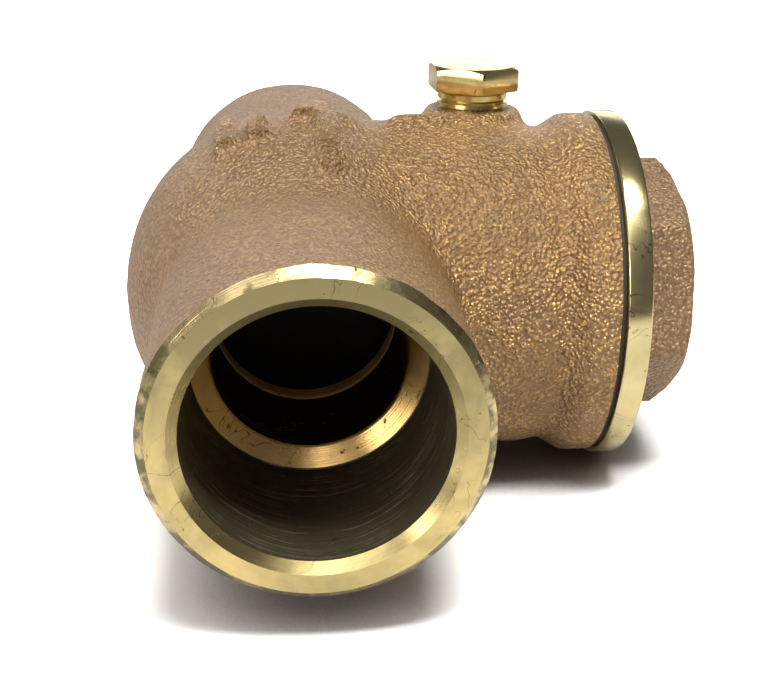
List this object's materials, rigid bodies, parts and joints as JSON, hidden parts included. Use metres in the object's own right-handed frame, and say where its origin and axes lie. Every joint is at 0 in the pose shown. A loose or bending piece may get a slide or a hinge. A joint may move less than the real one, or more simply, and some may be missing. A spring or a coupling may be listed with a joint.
{
  "type": "check valve",
  "caption": "Swing check valve: cast tee body with two solder cups, screwed hexagon cap, hinge pin plug and a swinging soft disc.",
  "frame": {"origin": "centre of the inlet cup's tube stop, where the inlet tube's end comes to rest", "axes": "+Y along the run from the inlet cup to the outlet cup, with the flow; +X along the cap axis, away from the body; +Z along the hinge pin, towards its plug"},
  "size_m": [0.0738, 0.1016, 0.0525],
  "materials": {
    "body": "sand-cast bronze with machined cup ends",
    "cap": "cast bronze hexagon with turned flange",
    "gasket": "dark fibre",
    "pin": "ground stainless steel",
    "plug": "turned brass",
    "hanger": "cast bronze",
    "holder": "turned bronze",
    "seat_disc": "black moulded rubber",
    "hanger_washer": "stamped brass",
    "hanger_nut": "turned brass",
    "lock_pin": "stainless wire"
  },
  "bodies": {
    "valve_body": {"body": "body", "hinge_pin": "pin", "hinge_pin_plug": "plug"},
    "cap_seal": {"cap_gasket": "gasket"},
    "cap": {"cap": "cap"},
    "clapper": {"disc_hanger": "hanger"},
    "disc": {"disc_holder": "holder", "seat_disc": "seat_disc", "hanger_washer": "hanger_washer", "hanger_nut": "hanger_nut", "hanger_nut_lock_pin": "lock_pin"}
  },
  "joints": [
    {"name": "clapper_swing", "type": "hinge", "parent": "valve_body", "child": "clapper", "pos_m": [0.0235, 0.0347, 0], "axis": [0, 0, -1], "range_deg": [0, 36]},
    {"name": "disc_spin", "type": "hinge", "parent": "clapper", "child": "disc", "pos_m": [0, 0.026, 0], "axis": [0, 1, 0], "continuous": true},
    {"name": "cap_lift", "type": "slide", "parent": "valve_body", "child": "cap_seal", "axis": [1, 0, 0], "range_m": [0, 0.0075]},
    {"name": "cap_turn", "type": "hinge", "parent": "cap_seal", "child": "cap", "pos_m": [0.0385, 0.0277, 0], "axis": [1, 0, 0], "range_deg": [0, 1260]}
  ],
  "couplings": [
    {"joint": "cap_lift", "follows": "cap_turn", "m_per_rad": 0.00033693}
  ]
}
